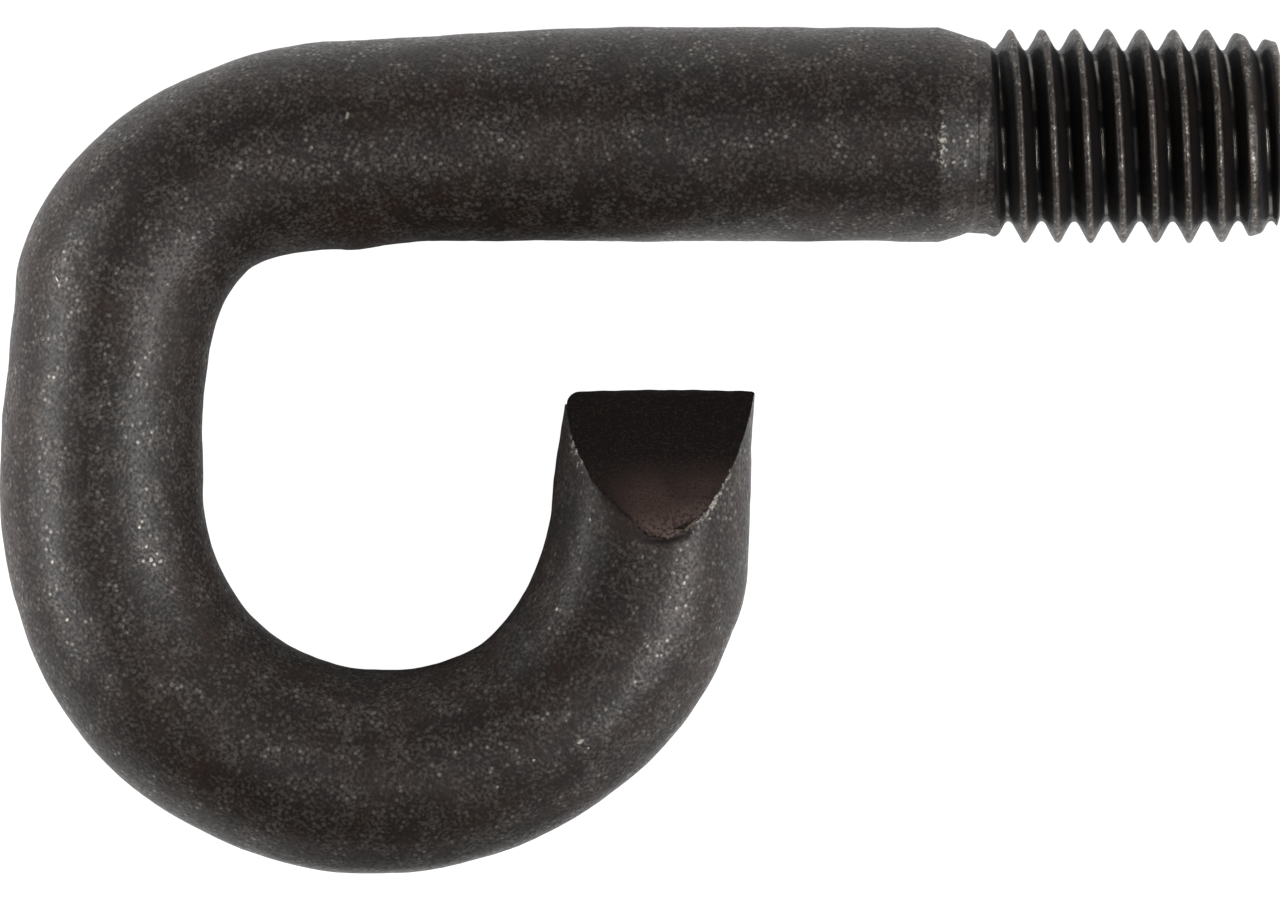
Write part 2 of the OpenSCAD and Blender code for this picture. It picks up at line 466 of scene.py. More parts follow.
# %% Nipped faces
FACE_ROWS = 30
FACE_CROWDING = 1.5
JAW_MARKS = 0.012
JAW_MARK_LEN = 0.5
JAW_MARK_FADE = 0.3
WRINKLES = 0.1
WRINKLE_LEN = 0.6
RIM_OVERHANG_SHARE = 0.9
RIM_LIFT_SHARE = 0.6
edge_points = forged(cut_along, angles)
edge_back, edge_across = tip_y - edge_points[:, 1], edge_points[:, 0] - tip_x
above = edge_points[:, 2] > 0
ridge_stand = ridge_back(edge_across)
face_run = edge_back - ridge_stand
face_shares = np.linspace(0, 1, FACE_ROWS + 1)[:, None] ** FACE_CROWDING
rounded = np.minimum(edge_round, face_run / 3)
from_edge = rounded + face_shares * (face_run - rounded)
back = edge_back - from_edge
across = np.broadcast_to(edge_across, back.shape)
upright = np.sign(np.sin(angles))
jaw_marks = JAW_MARKS * waves(np.stack([0.12 * across, back, 0 * back], axis=-1), JAW_MARK_LEN, 21)
jaw_marks = jaw_marks * np.clip(from_edge / JAW_MARK_FADE, 0, 1) * np.clip(back / JAW_MARK_FADE, 0, 1)
wrinkles = WRINKLES * waves(np.stack([across, 1.6 * back, 0 * back], axis=-1), WRINKLE_LEN, 22)
turned_over = bell(from_edge, 0.0, BURR_WIDTH) * burr_share
face_up = face_height(back, across, above) + BURR_HEIGHT * turned_over * (1 + wrinkles) + jaw_marks
overhang = BURR_OVERHANG * turned_over
faces = np.stack([tip_x + across, tip_y - back - overhang, upright * face_up], axis=-1)
rim = 0.5 * edge_points + 0.25 * (sides[-1] + faces[0])
rim[:, 1] -= RIM_OVERHANG_SHARE * BURR_OVERHANG * burr_share
rim[:, 2] += RIM_LIFT_SHARE * BURR_HEIGHT * burr_share
print("the face is", round(float(face_run.max()), 2), "mm from edge to ridge")

# %% [markdown]
# ## One closed mesh
#
# The flat end of the thread is closed with rings that shrink to its middle, and the ridge with a
# strip from the upper face to the lower one. All points go into one list of rows, so neighbouring
# rows make the four-sided faces. Points that fall together at the two ends of the ridge are merged.

# %% Rows into faces
END_RINGS = 7
END_DISH = 0.06
ring_shares = np.linspace(1, 0, END_RINGS + 1)[1:-1]
end_middle = np.array([THREAD_END, 0.0, 0.0])
end_rings = end_middle + (sides[0] - end_middle) * ring_shares[::-1, None, None]
end_rings[..., 0] -= END_DISH * (1 - ring_shares[::-1, None] ** 2)
rows = np.concatenate([end_rings, sides, rim[None], faces])
row_count = len(rows)
points = np.concatenate([rows.reshape(-1, 3), [end_middle - [END_DISH, 0, 0]]])
middle_index = len(points) - 1

row, column = np.meshgrid(np.arange(row_count - 1), np.arange(ROUND_SIDES), indexing="ij")
beside = (column + 1) % ROUND_SIDES
quads = np.stack([row * ROUND_SIDES + column, (row + 1) * ROUND_SIDES + column,
                  (row + 1) * ROUND_SIDES + beside, row * ROUND_SIDES + beside], axis=-1).reshape(-1, 4)
last = (row_count - 1) * ROUND_SIDES
half_round = ROUND_SIDES // 2
strip = [[last + k, last + (ROUND_SIDES - k) % ROUND_SIDES, last + ROUND_SIDES - k - 1, last + k + 1]
         for k in range(half_round)]
middle_fan = [[middle_index, k, (k + 1) % ROUND_SIDES] for k in range(ROUND_SIDES)]
first_face_row = len(end_rings) + len(sides)
finish_of = np.concatenate([np.where(np.arange(len(quads)) // ROUND_SIDES >= first_face_row, 1, 0),
                            np.ones(len(strip), int), np.zeros(len(middle_fan), int)])
print(len(points), "points and", len(quads) + len(strip) + len(middle_fan), "faces")

# %% [markdown]
# ## What the finishes need to know
#
# A real bolt is worn, sooty or rusty in certain places, not all over. Those places could be painted
# on a picture wrapped round the rod. Numbers kept on the points need no picture and stay sharp: how
# near a crest or a worn edge a point is, how deep in a groove, how close under the burr. Some of these
# numbers place painted light and shade. Soot darkens the grooves but is thinned on the two sides of
# the rod, so the flanks there stay lighter, a painted sheen. Two bands along the thread, at set angles
# round it, keep the floor of the grooves dark and dull, as painted shade between its glints.

# %% Facts about the thread and the neck
SOOT_STOPS = 0.2
SOOT_LEAST_IN_PAINTED_SHEEN = 0.25
PAINTED_SHADE_BANDS = [(0.17, 0.11), (-0.55, 0.14)]
WEAR_AND_HIGHLIGHT_AT = 97.0
SHOULDER_AT = -0.1
SHOULDER_HALF = 0.25
SHOULDER_SPREAD = 16.0
RUBBED_NECK_AT = 1.2
RUBBED_NECK_LEN = 1.5
RUBBED_NECK_SPREAD = 26.0
END_BARE_LEN = 0.45
END_BARE_SHARE = 0.45


def eased(value, low, high):
    """0 below low, 1 above high and smooth between."""
    share = np.clip((value - low) / (high - low), 0.0, 1.0)
    return share * share * (3 - 2 * share)


side_x = -along
threaded = along < 0
crest_near = crest_share(side_x, around)
crest = np.clip(crest_near * 4 - 3, 0, 1) * crests_grown(side_x, around) * threaded
root = (1 - crest_near) * grooves_cut(side_x) * threaded
# Soot fills the grooves, but thinner on the two sides of the rod, which leaves the flanks there lighter: a
# painted sheen.
thinned_for_painted_sheen = SOOT_LEAST_IN_PAINTED_SHEEN + (1 - SOOT_LEAST_IN_PAINTED_SHEEN) * eased(np.abs(np.sin(around)), 0.3, 0.65)
soot = root * thinned_for_painted_sheen * (side_x < THREAD_END - SOOT_STOPS)
# Two bands at set angles round the thread: painted shade on the groove floors between the glints.
oiled = sum(bell(np.cos(around), middle, half) for middle, half in PAINTED_SHADE_BANDS)
side_degrees = np.degrees(around)
# The shoulder and the neck are worn all round, and more on top, where the highlight falls: that extra on
# top is a painted highlight.
shoulder = bell(along, SHOULDER_AT, SHOULDER_HALF)
shoulder = shoulder * (0.2 + 0.55 * bell(side_degrees, WEAR_AND_HIGHLIGHT_AT, SHOULDER_SPREAD))
neck = np.clip(1 - np.abs(side_x - RUBBED_NECK_AT) / RUBBED_NECK_LEN, 0, 1)
neck = neck * (0.1 + 0.9 * bell(side_degrees, WEAR_AND_HIGHLIGHT_AT, RUBBED_NECK_SPREAD))
flat_end = np.clip(1 - (THREAD_END - side_x) / END_BARE_LEN, 0, 1)
print(np.count_nonzero(crest), "points on the crests and", np.count_nonzero(soot), "in sooty grooves")

# %% Facts about the nipped edge and its faces
NIP_WEAR_LEN = 0.8
FACE_WEAR_LEN = 0.15
SMEAR_AT = 100.0
SMEAR_HALF = 28.0
PAINTED_SHADOW_GAP = 0.12
PAINTED_SHADOW_HALF = 0.17
PAINTED_SHADOW_AT = 79.0
PAINTED_SHADOW_SPREAD = 15.0
RUST_BACK = (2.8, 5.2)
RUST_ACROSS = (-2.6, -0.5)

nip_wear = bell(to_edge, 0.0, NIP_WEAR_LEN)
face_wear = bell(from_edge, 0.0, FACE_WEAR_LEN)
smear = 0.85 * bell(degrees, SMEAR_AT, SMEAR_HALF)
# A dark line just below the burr, in the groove under its overhang, is a painted shadow.
crease = bell(to_edge, BURR_OVERHANG + PAINTED_SHADOW_GAP, PAINTED_SHADOW_HALF) * bell(degrees, PAINTED_SHADOW_AT, PAINTED_SHADOW_SPREAD, 4)
nip_share = 0.1 + 0.5 * bell(degrees, 52.0, 17.0, 4) + 0.55 * bell(degrees, 146.0, 9.0)
rust = eased(back, *RUST_BACK) * (0.25 + 0.75 * eased(across, *RUST_ACROSS))
print(f"the nipped edge is worn by {nip_share.min():.2f} to {nip_share.max():.2f}")

# %% Keep the facts on the points
GROOVE_FROM = 0.3
SMEAR_LEN = 1.1
BROWNED_LEN = 0.6


def per_point(on_sides, on_faces, on_end=0.0, on_rim=None):
    """One number for every point, from its values on the sides, the nipped faces and the flat end."""
    rim_values = on_sides[-1] if on_rim is None else np.broadcast_to(on_rim, ROUND_SIDES)
    return np.concatenate([np.full(len(end_rings) * ROUND_SIDES, on_end), on_sides.ravel(), rim_values,
                           np.broadcast_to(on_faces, back.shape).ravel(), [on_end]])


facts = {
    "crest": per_point(crest, 0.0),
    "root": per_point(root, 0.0),
    "soot": per_point(soot, 0.0),
    "oiled": per_point(oiled, 0.0),
    "worn_edge": per_point(np.maximum(shoulder, nip_wear * nip_share), 0.6 * nip_share * face_wear,
                           on_rim=nip_share),
    "neck": per_point(neck, 0.0),
    "rust": per_point(np.zeros_like(along), rust),
    "crease": per_point(crease, 0.0),
    "burr": per_point(bell(to_edge, 0.0, SMEAR_LEN) * smear, bell(from_edge, 0.0, BROWNED_LEN) * burr_share,
                      on_rim=burr_share),
    "flat_end": per_point(flat_end, 0.0, on_end=END_BARE_SHARE),
}
groove_share = facts["soot"][quads].mean(axis=1)
finish_of[:len(quads)][groove_share > GROOVE_FROM] = 2
print("facts kept on the points:", ", ".join(facts))

# %% Make the mesh
MERGE_WITHIN = 0.002
SLIVER = 0.001
mesh = bpy.data.meshes.new("forged_rod")
mesh.from_pydata((points * MM).tolist(), [], quads.tolist() + strip + middle_fan)
for name, values in facts.items():
    kept_fact = mesh.attributes.new(name, "FLOAT", "POINT")
    kept_fact.data.foreach_set("value", values.astype(np.float32))
mesh.polygons.foreach_set("use_smooth", np.ones(len(mesh.polygons), bool))
mesh.polygons.foreach_set("material_index", finish_of.astype(np.int32))
unrolled = mesh.uv_layers.new(name="unrolled")
corner_points = np.zeros(len(mesh.loops), np.int32)
mesh.loops.foreach_get("vertex_index", corner_points)
row_of = np.minimum(corner_points // ROUND_SIDES, row_count - 1)
unrolled_v = (corner_points % ROUND_SIDES) / ROUND_SIDES
unrolled_places = np.stack([row_of / row_count, unrolled_v], axis=-1)
unrolled.data.foreach_set("uv", unrolled_places.astype(np.float32).ravel())
forged_rod = bpy.data.objects.new("forged_rod", mesh)
bpy.context.scene.collection.objects.link(forged_rod)

shell = bmesh.new()
shell.from_mesh(mesh)
bmesh.ops.remove_doubles(shell, verts=shell.verts, dist=MERGE_WITHIN * MM)
bmesh.ops.dissolve_degenerate(shell, edges=shell.edges, dist=SLIVER * MM)
bmesh.ops.recalc_face_normals(shell, faces=shell.faces)
open_edges = sum(1 for joint in shell.edges if len(joint.link_faces) != 2)
shell.to_mesh(mesh)
shell.free()
triangles = sum(len(face.vertices) - 2 for face in mesh.polygons)
print("forged_rod has", triangles, "triangles and", open_edges, "open edges")

# %% [markdown]
# ## Small tools for shader nodes
#
# Each finish is a little network of nodes. A few helpers keep the network readable: one joins a
# value to a socket, one does arithmetic, one mixes two colours, one stretches a range, and one
# places a noise. Object coordinates are in metres here, so they are scaled to millimetres first,
# and every grain size below can be read as grains per millimetre.

# %% Node helpers
def feed(tree, value, socket):
    """Joins an output to a socket, or sets the socket to a plain value."""
    if isinstance(value, bpy.types.NodeSocket):
        tree.links.new(value, socket)
    else:
        socket.default_value = value


def calc(tree, operation, first, second=0.0):
    """One step of arithmetic."""
    made = tree.nodes.new("ShaderNodeMath")
    made.operation = operation
    feed(tree, first, made.inputs[0])
    feed(tree, second, made.inputs[1])
    return made.outputs[0]


def mix_colour(tree, share, first, second):
    """The first colour where the share is 0, and the second where it is 1."""
    made = tree.nodes.new("ShaderNodeMix")
    made.data_type = "RGBA"
    feed(tree, share, made.inputs["Factor"])
    feed(tree, first, made.inputs[6])
    feed(tree, second, made.inputs[7])
    return made.outputs[2]


def stretch(tree, value, low, high, to_low=0.0, to_high=1.0):
    """Eases from one number to another while the value goes from low to high."""
    made = tree.nodes.new("ShaderNodeMapRange")
    made.interpolation_type = "SMOOTHSTEP"
    feed(tree, value, made.inputs["Value"])
    for name, number in (("From Min", low), ("From Max", high), ("To Min", to_low), ("To Max", to_high)):
        made.inputs[name].default_value = number
    return made.outputs["Result"]


def noise(tree, place, per_mm, detail=2.0, harshness=0.5):
    """A cloudy pattern between 0 and 1."""
    made = tree.nodes.new("ShaderNodeTexNoise")
    feed(tree, place, made.inputs["Vector"])
    made.inputs["Scale"].default_value = per_mm
    made.inputs["Detail"].default_value = detail
    made.inputs["Roughness"].default_value = harshness
    return made.outputs["Fac"]


def cells(tree, place, per_mm):
    """Cells round scattered middles, each with a colour of its own."""
    made = tree.nodes.new("ShaderNodeTexVoronoi")
    feed(tree, place, made.inputs["Vector"])
    made.inputs["Scale"].default_value = per_mm
    return made.outputs


def place_in_mm(tree, squeeze=(1.0, 1.0, 1.0)):
    """The place on the object in millimetres, squeezed along an axis where asked."""
    where = tree.nodes.new("ShaderNodeTexCoord")
    scaled = tree.nodes.new("ShaderNodeVectorMath")
    scaled.operation = "MULTIPLY"
    feed(tree, where.outputs["Object"], scaled.inputs[0])
    scaled.inputs[1].default_value = [part / MM for part in squeeze]
    return scaled.outputs[0]


def fact(tree, name):
    """One of the numbers kept on the points."""
    made = tree.nodes.new("ShaderNodeAttribute")
    made.attribute_name = name
    return made.outputs["Fac"]


def new_group(name, takes, gives):
    """An empty node group with its named inputs and outputs."""
    group = bpy.data.node_groups.new(name, "ShaderNodeTree")
    for socket_name in takes:
        group.interface.new_socket(socket_name, in_out="INPUT", socket_type="NodeSocketFloat")
    for socket_name, kind in gives.items():
        group.interface.new_socket(socket_name, in_out="OUTPUT", socket_type=kind)
    return group, group.nodes.new("NodeGroupInput"), group.nodes.new("NodeGroupOutput")


def place_group(tree, group, **inputs):
    """Puts a group into a finish and gives its outputs."""
    made = tree.nodes.new("ShaderNodeGroup")
    made.node_tree = group
    for name, value in inputs.items():
        feed(tree, value, made.inputs[name])
    return made.outputs


print("node helpers ready")

# %% [markdown]
# ## Forge grain
#
# Scale is made of round grains of about a fifth of a millimetre, and handling has rubbed their tops
# bright, more so in some patches. In the light the tops sparkle, and in the shade they hardly show.
# Round dots about scattered middles make the brightest grains, each with a strength of its own, and
# the peaks of a fine noise fill in between. They come out as masks that a finish can make more
# metallic, and the noise goes a little into the bump. A deeper bump would look like wrinkled skin,
# and whole cells like tiles. The pattern is turned askew, so that no lines of it run along the rod.

# %% Group: forge grain
DUST_PER_MM = 6.2
DUST_HEIGHT = 0.015
DOTS_PER_MM = 3.6
GRAIN_ASKEW = (0.6, 0.5, 0.8)

grain_group, grain_in, grain_out = new_group("forge_grain", ["Crowding"], {
    "Height": "NodeSocketFloat", "Grain": "NodeSocketFloat", "Dots": "NodeSocketFloat",
    "Dust": "NodeSocketFloat", "Blotch": "NodeSocketFloat"})
mm_place = place_in_mm(grain_group)
askew = grain_group.nodes.new("ShaderNodeMapping")
feed(grain_group, mm_place, askew.inputs["Vector"])
askew.inputs["Rotation"].default_value = GRAIN_ASKEW
crowd = calc(grain_group, "ADD", noise(grain_group, mm_place, 0.9, 0.0), grain_in.outputs["Crowding"])
dust = noise(grain_group, askew.outputs["Vector"], DUST_PER_MM, 0.8, 0.5)
risen = calc(grain_group, "ADD", dust, calc(grain_group, "MULTIPLY", crowd, 0.36))
scattered = cells(grain_group, askew.outputs["Vector"], DOTS_PER_MM)
own_strength = grain_group.nodes.new("ShaderNodeSeparateColor")
feed(grain_group, scattered["Color"], own_strength.inputs[0])
brightest = calc(grain_group, "ADD", own_strength.outputs["Red"], calc(grain_group, "MULTIPLY", crowd, 1.2))
dots = calc(grain_group, "MULTIPLY", stretch(grain_group, scattered["Distance"], 0.55, 0.12),
            stretch(grain_group, brightest, 0.82, 1.72))
tops = calc(grain_group, "MULTIPLY", stretch(grain_group, risen, 0.66, 0.92), 0.5)
feed(grain_group, calc(grain_group, "MULTIPLY", dust, DUST_HEIGHT), grain_out.inputs["Height"])
feed(grain_group, calc(grain_group, "MAXIMUM", tops, dots), grain_out.inputs["Grain"])
feed(grain_group, dots, grain_out.inputs["Dots"])
feed(grain_group, dust, grain_out.inputs["Dust"])
feed(grain_group, noise(grain_group, mm_place, 0.33, 1.0, 0.6), grain_out.inputs["Blotch"])
print("forge grain gives", [item.name for item in grain_group.interface.items_tree])

# %% [markdown]
# ## Worn edges
#
# Wear takes the scale off the highest spots first. The mesh says how near an edge or a crest a point
# is, and a noise breaks that up, so the bare metal comes out as a broken line and not as a stripe.

# %% Group: worn edges
wear_group, wear_in, wear_out = new_group("worn_edges", ["Nearness"], {"Bare": "NodeSocketFloat"})
wear_place = place_in_mm(wear_group)
breakup = calc(wear_group, "MULTIPLY", noise(wear_group, wear_place, 3.9, 2.0, 0.7), 2.6)
worn = calc(wear_group, "ADD", breakup, wear_in.outputs["Nearness"])
near_enough = stretch(wear_group, wear_in.outputs["Nearness"], 0.05, 0.3)
feed(wear_group, calc(wear_group, "MULTIPLY", near_enough, stretch(wear_group, worn, 1.75, 2.3)),
     wear_out.inputs["Bare"])
print("worn edges takes", [item.name for item in wear_group.interface.items_tree])

# %% [markdown]
# ## Flaked-off chips
#
# In a few places a whole flake of scale came off and left a pale spot. Each chip is an ellipse with
# a place on top of the rod, a length, a width and a turn. A noise is added to the distance from its
# middle, so its outline isn't a clean ellipse.

# %% Group: chips
CHIPS = [
    # x, y, length, width, turn
    (-27.30, 0.72, 0.34, 0.15, 80.0),
    (-16.55, -28.15, 0.30, 0.16, 35.0),
    (-16.20, -28.45, 0.16, 0.12, 0.0),
    (-18.70, -29.00, 0.18, 0.12, 20.0),
    (-20.40, -30.25, 0.16, 0.12, 50.0),
    (-36.35, -19.75, 0.24, 0.16, 70.0),
    (-40.25, -22.55, 0.20, 0.14, 40.0),
    (-40.75, -6.75, 0.80, 0.08, 123.0),
    (7.75, -0.75, 0.20, 0.14, 90.0),
]
CHIP_RAGGED = 1.2
top_points = points[points[:, 2] > 0.0]
chip_group, _, chip_out = new_group("bare_chips", [], {"Bare": "NodeSocketFloat"})
chip_place = place_in_mm(chip_group)
chip_noise = calc(chip_group, "SUBTRACT", noise(chip_group, chip_place, 6.0, 0.0), 0.5)
ragged = calc(chip_group, "MULTIPLY", chip_noise, CHIP_RAGGED)
all_chips = 0.0
for chip_x, chip_y, chip_len, chip_wide, chip_turn in CHIPS:
    nearest = np.argmin(np.hypot(top_points[:, 0] - chip_x, top_points[:, 1] - chip_y))
    spot = chip_group.nodes.new("ShaderNodeMapping")
    spot.vector_type = "TEXTURE"
    feed(chip_group, chip_place, spot.inputs["Vector"])
    spot.inputs["Location"].default_value = (chip_x, chip_y, top_points[nearest, 2])
    spot.inputs["Rotation"].default_value = (0.0, 0.0, math.radians(chip_turn))
    spot.inputs["Scale"].default_value = (chip_len / 2, chip_wide / 2, chip_wide)
    off_middle = chip_group.nodes.new("ShaderNodeVectorMath")
    off_middle.operation = "LENGTH"
    feed(chip_group, spot.outputs["Vector"], off_middle.inputs[0])
    off_edge = calc(chip_group, "ADD", off_middle.outputs["Value"], ragged)
    one_chip = stretch(chip_group, off_edge, 0.6, 1.2, 1.0, 0.0)
    all_chips = calc(chip_group, "MAXIMUM", all_chips, one_chip)
feed(chip_group, all_chips, chip_out.inputs["Bare"])
print(len(CHIPS), "chips placed")

# %% [markdown]
# ## The black scale
#
# Hot-rolled scale is a dark oxide, not bare metal, so it has little colour of its own and a dull
# gloss. It is greyer where it is thick and browner where damp got to it. One dark metal all over would
# look like paint. Here the scale itself isn't metallic and only the rubbed grains, the crests, the
# worn edges and the chips are, so the metal shows in the places where it does on the real bolt.

# %% Where the black scale is rubbed
black_scale = bpy.data.materials.new("black_scale")
black_scale.use_nodes = True
tree = black_scale.node_tree
surface = tree.nodes["Principled BSDF"]
on_crest, on_neck, on_burr, on_painted_shadow = (fact(tree, name) for name in ("crest", "neck", "burr", "crease"))
# The neck's share is strongest on top, partly a painted highlight.
rubbed_and_highlight = calc(tree, "ADD", calc(tree, "MULTIPLY", on_neck, 0.06), calc(tree, "MULTIPLY", on_crest, 0.35))
# The brown smear near the nipped edge is a stain, and the line under the burr is a painted shadow.
smear_and_painted_shadow = calc(tree, "MULTIPLY", calc(tree, "MAXIMUM", on_burr, on_painted_shadow), 0.15)
grain = place_group(tree, grain_group, Crowding=calc(tree, "SUBTRACT", rubbed_and_highlight, smear_and_painted_shadow))
nearness = calc(tree, "MAXIMUM", calc(tree, "MULTIPLY", on_crest, 0.46), fact(tree, "worn_edge"))
bare = place_group(tree, wear_group, Nearness=nearness)["Bare"]
bare = calc(tree, "MAXIMUM", bare, place_group(tree, chip_group)["Bare"])
print("black_scale starts with", len(tree.nodes), "nodes for its grain and wear")

# %% Colour of the black scale
SCALE_COLD = (0.0220, 0.0158, 0.0135, 1.0)
SCALE_WARM = (0.0320, 0.0180, 0.0135, 1.0)
SCALE_DARK = (0.0090, 0.0062, 0.0052, 1.0)
GRAIN_METAL = (0.1500, 0.1380, 0.1240, 1.0)
DOT_METAL = (0.2400, 0.2200, 0.1980, 1.0)
GROOVE_BLACK = (0.0045, 0.0031, 0.0027, 1.0)
CREST_BROWN = (0.1200, 0.0960, 0.0800, 1.0)
CREST_RUST = (0.0420, 0.0230, 0.0160, 1.0)
SMEAR_BROWN = (0.0300, 0.0170, 0.0130, 1.0)
PAINTED_SHADOW_RED = (0.0100, 0.0045, 0.0040, 1.0)
END_TAN = (0.1500, 0.1050, 0.0700, 1.0)
BARE_METAL = (0.4400, 0.4150, 0.3600, 1.0)

colour = mix_colour(tree, stretch(tree, grain["Blotch"], 0.42, 0.62), SCALE_COLD, SCALE_WARM)
colour = mix_colour(tree, stretch(tree, grain["Dust"], 0.55, 0.3), colour, SCALE_DARK)
crest_patch = noise(tree, place_in_mm(tree), 1.6, 1.0, 0.6)
crest_colour = mix_colour(tree, stretch(tree, crest_patch, 0.38, 0.6), CREST_RUST, CREST_BROWN)
colour = mix_colour(tree, calc(tree, "MULTIPLY", on_crest, 0.8), colour, crest_colour)
colour = mix_colour(tree, on_burr, colour, SMEAR_BROWN)
metal_colour = mix_colour(tree, grain["Dots"], GRAIN_METAL, DOT_METAL)
colour = mix_colour(tree, grain["Grain"], colour, metal_colour)
# The dark red line under the burr is a painted shadow.
colour = mix_colour(tree, on_painted_shadow, colour, PAINTED_SHADOW_RED)
# Soot darkens the grooves, less on the sides of the rod: real soot with a painted sheen.
colour = mix_colour(tree, stretch(tree, fact(tree, "soot"), 0.08, 0.3), colour, GROOVE_BLACK)
tan_patch = stretch(tree, grain["Dust"], 0.35, 0.6, 0.4, 1.0)
colour = mix_colour(tree, calc(tree, "MULTIPLY", fact(tree, "flat_end"), tan_patch), colour, END_TAN)
feed(tree, mix_colour(tree, bare, colour, BARE_METAL), surface.inputs["Base Color"])
print("with its colour black_scale has", len(tree.nodes), "nodes")

# %% Gloss of the black scale
SCALE_INDEX = 1.5


def bump_from(tree, height):
    """A normal that leans with a height in millimetres."""
    made = tree.nodes.new("ShaderNodeBump")
    made.inputs["Distance"].default_value = MM
    feed(tree, height, made.inputs["Height"])
    return made.outputs["Normal"]


grain_metal = calc(tree, "MULTIPLY", grain["Grain"], 0.8)
bare_metal = calc(tree, "MULTIPLY", bare, 0.5)
feed(tree, calc(tree, "MAXIMUM", grain_metal, bare_metal), surface.inputs["Metallic"])
dulled = 0.0
for where, strength in ((on_burr, 0.2), (on_painted_shadow, 0.5), (on_neck, 0.09)):
    dulled = calc(tree, "MAXIMUM", dulled, calc(tree, "MULTIPLY", where, strength))
dulled = calc(tree, "SUBTRACT", dulled, calc(tree, "MULTIPLY", grain["Dots"], 0.16))
scale_dullness = stretch(tree, grain["Dust"], 0.3, 0.5, 0.52, 0.40)
feed(tree, calc(tree, "ADD", scale_dullness, dulled), surface.inputs["Roughness"])
surface.inputs["IOR"].default_value = SCALE_INDEX
feed(tree, bump_from(tree, grain["Height"]), surface.inputs["Normal"])
print("with its gloss black_scale has", len(tree.nodes), "nodes")

# %% [markdown]
# ## The thread grooves
#
# The rollers pressed soot and oil into the grooves, and nothing has rubbed it out since. They are
# nearly black and throw back little light. A darker colour alone would still shine like the scale, so
# they get a finish of their own with a lower index. Only the floor of a groove, which the rollers
# polished, glints in short runs. Between the runs, two bands at set angles round the thread keep the
# floor dark and dull: painted shade between the glints.

# %% Material: thread grooves
SOOT_INDEX = 1.38

groove_soot = bpy.data.materials.new("groove_soot")
groove_soot.use_nodes = True
tree = groove_soot.node_tree
surface = tree.nodes["Principled BSDF"]
grain = place_group(tree, grain_group, Crowding=0.0)
floor_share = stretch(tree, fact(tree, "root"), 0.96, 1.0)
# Outside the two bands of painted shade the polished floor may glint.
outside_painted_shade = stretch(tree, fact(tree, "oiled"), 0.15, 0.6, 1.0, 0.0)
patches = stretch(tree, noise(tree, place_in_mm(tree), 0.8, 0.0), 0.4, 0.6, 0.3, 1.0)
polish_between_painted_shade = calc(tree, "MULTIPLY", calc(tree, "MULTIPLY", floor_share, outside_painted_shade), patches)
soot_colour = mix_colour(tree, stretch(tree, grain["Blotch"], 0.5, 0.65), GROOVE_BLACK, SCALE_DARK)
feed(tree, mix_colour(tree, polish_between_painted_shade, soot_colour, GRAIN_METAL), surface.inputs["Base Color"])
feed(tree, calc(tree, "MULTIPLY", polish_between_painted_shade, 0.9), surface.inputs["Metallic"])
feed(tree, stretch(tree, polish_between_painted_shade, 0.0, 1.0, 0.62, 0.18), surface.inputs["Roughness"])
surface.inputs["IOR"].default_value = SOOT_INDEX
feed(tree, bump_from(tree, grain["Height"]), surface.inputs["Normal"])
print("groove_soot has", len(tree.nodes), "nodes")

# %% [markdown]
# ## The nipped faces
#
# Where the jaws tore the hot metal apart there is fresh oxide: near black at the ridge, where the
# metal was squeezed hardest, and rusty brown toward the burr. Fine lines run along the ridge, drawn
# by the jaws. A wave texture would space them evenly, so a noise stretched along X makes them.

# %% Material: nipped faces
FACE_BLACK = (0.0070, 0.0040, 0.0034, 1.0)
FACE_RUST = (0.0740, 0.0440, 0.0370, 1.0)
BURR_BROWN = (0.1500, 0.1120, 0.0950, 1.0)
JAW_LINE_HEIGHT = 0.02
JAW_LINE_STRETCH = (0.22, 1.0, 1.0)
FACE_INDEX = 1.33

nipped_face = bpy.data.materials.new("nipped_face")
nipped_face.use_nodes = True
tree = nipped_face.node_tree
surface = tree.nodes["Principled BSDF"]
grain = place_group(tree, grain_group, Crowding=-0.3)
jaw_lines = noise(tree, place_in_mm(tree, JAW_LINE_STRETCH), 6.0, 3.0, 0.6)
bare = place_group(tree, wear_group, Nearness=fact(tree, "worn_edge"))["Bare"]
rust_patch = stretch(tree, grain["Blotch"], 0.3, 0.55, 0.5, 1.0)
rust_share = calc(tree, "MULTIPLY", fact(tree, "rust"), rust_patch)
face_colour = mix_colour(tree, rust_share, FACE_BLACK, FACE_RUST)
fine = noise(tree, place_in_mm(tree), 9.0, 0.0)
face_colour = mix_colour(tree, stretch(tree, fine, 0.6, 0.25, 0.0, 0.5), face_colour, GROOVE_BLACK)
face_colour = mix_colour(tree, stretch(tree, fine, 0.5, 0.85), face_colour, SCALE_WARM)
burr_patch = calc(tree, "MULTIPLY", fact(tree, "burr"), stretch(tree, grain["Dust"], 0.38, 0.58))
face_colour = mix_colour(tree, burr_patch, face_colour, BURR_BROWN)
feed(tree, mix_colour(tree, bare, face_colour, BARE_METAL), surface.inputs["Base Color"])
feed(tree, stretch(tree, jaw_lines, 0.3, 0.7, 0.8, 0.6), surface.inputs["Roughness"])
surface.inputs["IOR"].default_value = FACE_INDEX
lines_height = calc(tree, "MULTIPLY", jaw_lines, JAW_LINE_HEIGHT)
feed(tree, bump_from(tree, calc(tree, "ADD", lines_height, grain["Height"])), surface.inputs["Normal"])
print("nipped_face has", len(tree.nodes), "nodes")

# %% [markdown]
# ## The dressed rod
#
# Each face of the mesh names its finish by a number, in the order in which the finishes are put on
# here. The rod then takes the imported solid's place and rides on the same body.

